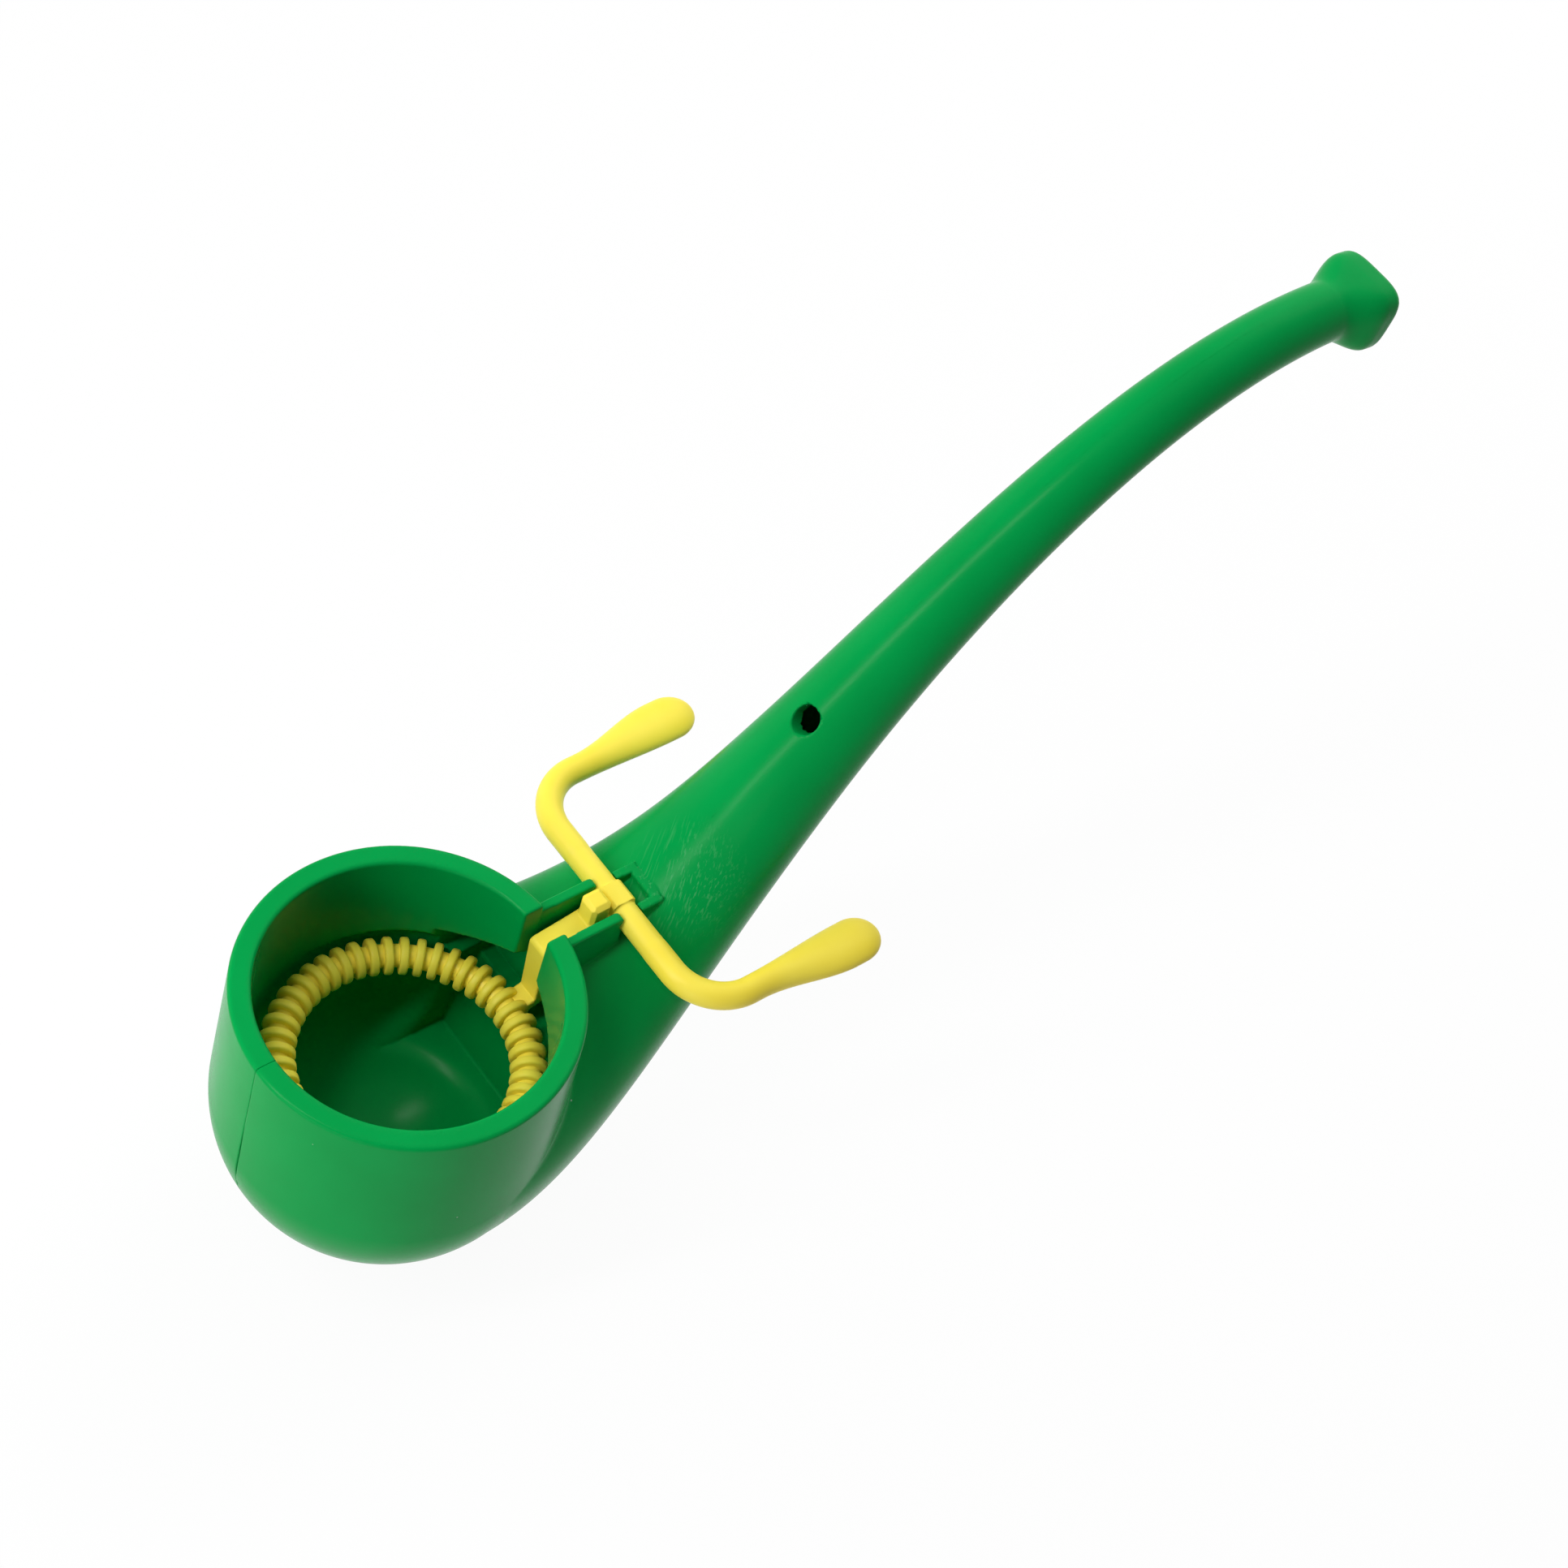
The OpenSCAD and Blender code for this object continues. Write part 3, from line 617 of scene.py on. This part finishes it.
xs = spaced(14.0, (18.0, 0.35), (32.5, 0.22), (55.0, 0.4))
ys = spaced(-22.0, (-4.0, 0.4), (4.0, 0.22), (22.0, 0.4))
zs = spaced(-17.6, (-8.0, 0.36), (0.2, 0.22))
points, faces, normals = skin(wand_depth, wand_depth, xs, ys, zs)
wand_arm = moulding("wand_arm", points, faces, normals, yellow_plastic)
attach(wand_arm, "wand")
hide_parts("bubble_wand")


# Soap ring: the round end of the wand's moulding, a yellow core with a row of rounded ribs that
# hold the soap solution. The ribs stand at even steps round the core.
core_r = 1.4
rib_t, rib_round, rib_deep = 1.05, 0.3, 1.4
rib_count = 48
core_steps, core_sides, rib_sides, rib_edge_steps = 240, 24, 28, 3
soap_ring = bpy.data.objects.new("soap_ring", bpy.data.meshes.new("soap_ring"))
bpy.context.scene.collection.objects.link(soap_ring)
tree = bpy.data.node_groups.new("ribbed_ring", "GeometryNodeTree")
tree.interface.new_socket("Geometry", in_out="OUTPUT", socket_type="NodeSocketGeometry")
ring_sizes = {"Ring Radius": ring_r, "Core Radius": core_r, "Rib Radius": rib_r,
              "Rib Thickness": rib_t, "Rib Depth": rib_deep, "Rib Rounding": rib_round,
              "Rib Count": rib_count}
sockets = {}
for label, size in ring_sizes.items():
    kind = "NodeSocketInt" if isinstance(size, int) else "NodeSocketFloat"
    sockets[label] = tree.interface.new_socket(label, in_out="INPUT", socket_type=kind)

given = tree.nodes.new("NodeGroupInput").outputs
core_path = add_node(tree, "GeometryNodeCurvePrimitiveCircle", Resolution=core_steps,
                     Radius=given["Ring Radius"]).outputs["Curve"]
core_section = add_node(tree, "GeometryNodeCurvePrimitiveCircle", Resolution=core_sides,
                        Radius=given["Core Radius"]).outputs["Curve"]
core = add_node(tree, "GeometryNodeCurveToMesh", Curve=core_path, Profile_Curve=core_section)
rib_section = add_node(tree, "GeometryNodeCurvePrimitiveQuadrilateral", Width=given["Rib Depth"],
                       Height=given["Rib Thickness"])
rib_edge = add_node(tree, "GeometryNodeFilletCurve", {"mode": "POLY"}, Count=rib_edge_steps,
                    Curve=rib_section.outputs["Curve"], Radius=given["Rib Rounding"])
rib_middle = figure(tree, "MULTIPLY_ADD", given["Rib Depth"], -0.5, given["Rib Radius"])
rib_path = add_node(tree, "GeometryNodeCurvePrimitiveCircle", Resolution=rib_sides,
                    Radius=rib_middle)
rib = add_node(tree, "GeometryNodeCurveToMesh", Curve=rib_path.outputs["Curve"],
               Profile_Curve=rib_edge.outputs["Curve"])
rib_spots = add_node(tree, "GeometryNodeCurveToPoints", Curve=core_path, Count=given["Rib Count"])
rib_facing = add_node(tree, "FunctionNodeAlignRotationToVector", {"axis": "Z"},
                      Vector=rib_spots.outputs["Tangent"])
ribs = add_node(tree, "GeometryNodeInstanceOnPoints", Points=rib_spots.outputs["Points"],
                Instance=rib.outputs["Mesh"], Rotation=rib_facing.outputs["Rotation"])
whole = tree.nodes.new("GeometryNodeJoinGeometry")
tree.links.new(core.outputs["Mesh"], whole.inputs["Geometry"])
tree.links.new(ribs.outputs["Instances"], whole.inputs["Geometry"])
in_bowl = add_node(tree, "GeometryNodeTransform", Geometry=whole.outputs["Geometry"],
                   Translation=(ring_back * mm, 0, ring_z * mm),
                   Rotation=(0, 0, math.pi / rib_count), Scale=(mm, mm, mm))
plain = add_node(tree, "GeometryNodeRealizeInstances", Geometry=in_bowl.outputs["Geometry"])
smooth = add_node(tree, "GeometryNodeSetShadeSmooth", Geometry=plain.outputs["Geometry"])
coloured = add_node(tree, "GeometryNodeSetMaterial", Geometry=smooth.outputs["Geometry"],
                    Material=yellow_plastic)
add_node(tree, "NodeGroupOutput", Geometry=coloured.outputs["Geometry"])

growth = soap_ring.modifiers.new("ribs", "NODES")
growth.node_group = tree
for label, size in ring_sizes.items():
    growth[sockets[label].identifier] = size
bpy.context.view_layer.update()
grown = soap_ring.evaluated_get(bpy.context.evaluated_depsgraph_get())
soap_ring.data = bpy.data.meshes.new_from_object(grown)
soap_ring.modifiers.clear()
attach(soap_ring, "wand")
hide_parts("bubble_wand")


# Floor: a wide flat sheet of matt white board, just under the bowl. It is nearly white to the
# camera and in the plastic's gloss, and it keeps a faint shadow of the pipe.
floor_z, floor_half = -0.0404, 3
floor_white, floor_rough, floor_sheen = (0.88, 0.88, 0.88, 1), 0.9, 0.1
floor_glow = 0.95
white = (1, 1, 1, 1)
floor_mesh = bpy.data.meshes.new("floor")
floor_corners = [(x * floor_half, y * floor_half, floor_z)
                 for x, y in ((-1, -1), (1, -1), (1, 1), (-1, 1))]
floor_mesh.from_pydata(floor_corners, [], [(0, 1, 2, 3)])
floor = bpy.data.objects.new("floor", floor_mesh)
bpy.context.scene.collection.objects.link(floor)
floor_paint = bpy.data.materials.new("floor_paint")
floor_paint.use_nodes = True
tree = floor_paint.node_tree
matt = tree.nodes["Principled BSDF"]
matt.inputs["Base Color"].default_value = floor_white
matt.inputs["Roughness"].default_value = floor_rough
matt.inputs["Specular IOR Level"].default_value = floor_sheen
glow = add_node(tree, "ShaderNodeEmission", Color=white)


def seen_rays(tree):
    """One for rays that show the background: from the camera, mirrored or through clear plastic."""
    ray = tree.nodes.new("ShaderNodeLightPath").outputs
    seen = figure(tree, "MAXIMUM", ray["Is Camera Ray"], ray["Is Glossy Ray"])
    return figure(tree, "MAXIMUM", seen, ray["Is Transmission Ray"])


paint = tree.nodes.new("ShaderNodeMixShader")
put(tree, paint.inputs["Fac"], figure(tree, "MULTIPLY", seen_rays(tree), floor_glow))
put(tree, paint.inputs[1], matt.outputs["BSDF"])
put(tree, paint.inputs[2], glow.outputs["Emission"])
put(tree, tree.nodes["Material Output"].inputs["Surface"], paint.outputs["Shader"])
floor_mesh.materials.append(floor_paint)


# Studio: a white room with a narrow lamp over the bowl's front, a low one before it, and three soft
# boxes at the pipe's left, above it and behind it, which don't show in the gloss. The camera stands
# at the photograph's angle.
room_light, room_seen = 0.05, 1.0
room = bpy.data.worlds.new("room")
bpy.context.scene.world = room
room.use_nodes = True
tree = room.node_tree
sky = tree.nodes["Background"]
sky.inputs["Color"].default_value = white
level = add_node(tree, "ShaderNodeMapRange", Value=seen_rays(tree),
                 To_Min=room_light, To_Max=room_seen)
put(tree, sky.inputs["Strength"], level.outputs["Result"])

photo_px, focal_px, sensor_mm, near_clip = 1932, 4000, 36, 0.01
view_az, view_el, view_roll = math.radians(-54.1), math.radians(51.0), math.radians(20.44)
stand_back, stand_right, stand_up = 358.25, 41.25, 22.96
view_back = Vector((math.sin(view_az) * math.cos(view_el),
                    -math.cos(view_az) * math.cos(view_el), math.sin(view_el)))
level_right = Vector((math.cos(view_az), math.sin(view_az), 0))
level_up = view_back.cross(level_right)
view_right = math.cos(view_roll) * level_right + math.sin(view_roll) * level_up
view_up = math.cos(view_roll) * level_up - math.sin(view_roll) * level_right
lens = bpy.data.cameras.new("camera")
lens.sensor_width = sensor_mm
lens.lens = sensor_mm * focal_px / photo_px
lens.clip_start = near_clip
camera = bpy.data.objects.new("camera", lens)
turned = Matrix((view_right, view_up, view_back)).transposed().to_4x4()
stand = stand_back * view_back + stand_right * view_right + stand_up * view_up
turned.translation = stand * mm
camera.matrix_world = turned
bpy.context.scene.collection.objects.link(camera)
bpy.context.scene.camera = camera

# Each lamp's name, the point it is aimed at, the way to it from there, its distance, width, height
# and power, and whether it shows in the gloss
pipe_middle = (0.045, 0, 0)
for name, aim, way, distance, wide, high, power, mirrored in (
    ("key_strip", (0.03, 0, 0), (-0.68, 0.13, 0.66), 0.32, 0.04, 0.3, 0.66, True),
    ("low_front", (0.01, 0, -0.01), (-0.95, -0.3, 0.12), 0.35, 0.3, 0.2, 0.46, True),
    ("left_box", pipe_middle, (-0.3, 0.9, 0.3), 0.5, 0.35, 0.35, 0.95, False),
    ("top_box", pipe_middle, (0.1, 0.1, 1), 0.6, 0.5, 0.5, 0.8, False),
    ("back_box", pipe_middle, (0.7, 0.3, 0.65), 0.5, 0.35, 0.35, 1.6, False),
):
    lamp = bpy.data.lights.new(name, "AREA")
    lamp.shape = "RECTANGLE"
    lamp.size, lamp.size_y = wide, high
    lamp.energy = power
    light = bpy.data.objects.new(name, lamp)
    out = Vector(way).normalized()
    facing = out.to_track_quat("Z", "Y")
    light.matrix_world = Matrix.LocRotScale(Vector(aim) + distance * out, facing, None)
    light.visible_camera = False
    light.visible_glossy = mirrored
    bpy.context.scene.collection.objects.link(light)

bpy.context.scene.view_settings.view_transform = "Standard"
